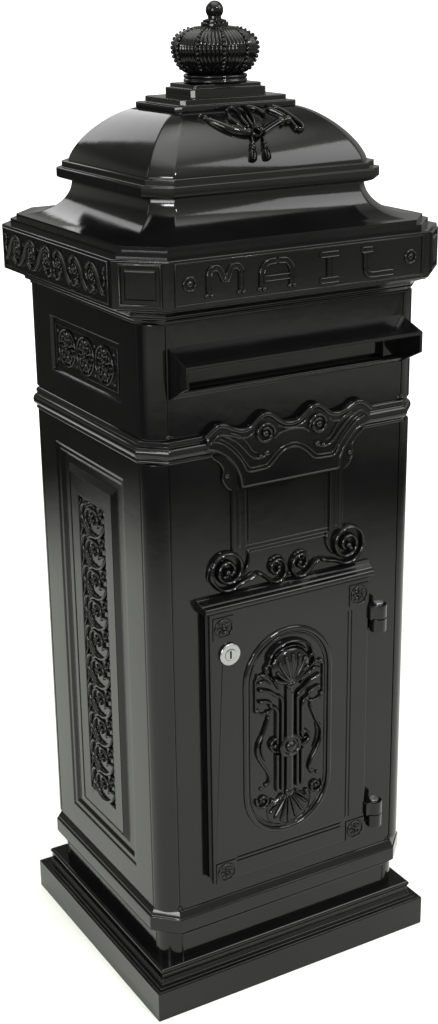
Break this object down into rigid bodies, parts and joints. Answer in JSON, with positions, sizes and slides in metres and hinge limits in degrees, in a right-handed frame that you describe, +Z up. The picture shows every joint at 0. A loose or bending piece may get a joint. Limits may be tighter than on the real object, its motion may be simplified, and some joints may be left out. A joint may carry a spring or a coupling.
{
  "type": "street letterbox",
  "caption": "Free-standing cast letterbox: stepped plinth, panelled body with hinged lockable door, hooded letter slot with swinging flap, and domed roof with a crown finial.",
  "frame": {"origin": "middle of the plinth's footprint, on the ground", "axes": "+Z up, the front with its door and slot faces -Y, +X to the right of somebody facing the front"},
  "size_m": [0.3674, 0.3337, 1.0204],
  "materials": {
    "coated_aluminium": "gloss",
    "plated_steel": "satin",
    "chromed_lock": "polished",
    "rubber_seal": "matte"
  },
  "bodies": {
    "letterbox": {"base_band": "coated_aluminium", "base_neck": "coated_aluminium", "base_plinth": "coated_aluminium", "cornice_deck": "coated_aluminium", "dome": "coated_aluminium", "drip_ledge": "coated_aluminium", "eave": "coated_aluminium", "finial_ball": "coated_aluminium", "finial_crown": "coated_aluminium", "finial_ring": "coated_aluminium", "flap_lugs": "coated_aluminium", "flap_pin": "plated_steel", "floor_plate": "coated_aluminium", "frame_knuckles": "coated_aluminium", "frieze": "coated_aluminium", "hinge_pins": "plated_steel", "letter_chute": "coated_aluminium", "letter_tray": "coated_aluminium", "lower_column_front_left": "coated_aluminium", "lower_column_front_right": "coated_aluminium", "lower_column_rear_left": "coated_aluminium", "lower_column_rear_right": "coated_aluminium", "lower_front_panel": "coated_aluminium", "lower_left_panel": "coated_aluminium", "lower_rear_panel": "coated_aluminium", "lower_right_panel": "coated_aluminium", "mid_band": "coated_aluminium", "reach_baffle": "coated_aluminium", "roof_nut": "plated_steel", "roof_rod": "plated_steel", "roof_skirt": "coated_aluminium", "slot_hood": "coated_aluminium", "slot_sill": "coated_aluminium", "stepped_cap": "coated_aluminium", "strike_plate": "plated_steel", "tie_rod_nuts": "plated_steel", "tie_rods": "plated_steel", "tray_rails": "coated_aluminium", "under_cornice": "coated_aluminium", "upper_column_front_left": "coated_aluminium", "upper_column_front_right": "coated_aluminium", "upper_column_rear_left": "coated_aluminium", "upper_column_rear_right": "coated_aluminium", "upper_front_panel": "coated_aluminium", "upper_left_panel": "coated_aluminium", "upper_rear_panel": "coated_aluminium", "upper_right_panel": "coated_aluminium"},
    "door": {"door_leaf": "coated_aluminium", "door_seal": "rubber_seal", "door_spigot": "coated_aluminium", "medallion_rim": "coated_aluminium", "corner_blocks": "coated_aluminium", "door_knuckles": "coated_aluminium", "lock_barrel": "chromed_lock", "lock_nut": "plated_steel"},
    "lock": {"lock_plug": "chromed_lock", "lock_cam": "plated_steel", "lock_cam_screw": "plated_steel"},
    "flap": {"letter_flap": "coated_aluminium"}
  },
  "joints": [
    {"name": "door_hinge", "type": "hinge", "parent": "letterbox", "child": "door", "pos_m": [0.104, -0.148, 0.284], "axis": [0, 0, 1], "range_deg": [0, 110]},
    {"name": "lock_turn", "type": "hinge", "parent": "door", "child": "lock", "pos_m": [-0.0795, -0.148, 0.4035], "axis": [0, 1, 0], "range_deg": [0, 90]},
    {"name": "flap_hinge", "type": "hinge", "parent": "letterbox", "child": "flap", "pos_m": [0, -0.1245, 0.714], "axis": [1, 0, 0], "range_deg": [0, 65]}
  ]
}
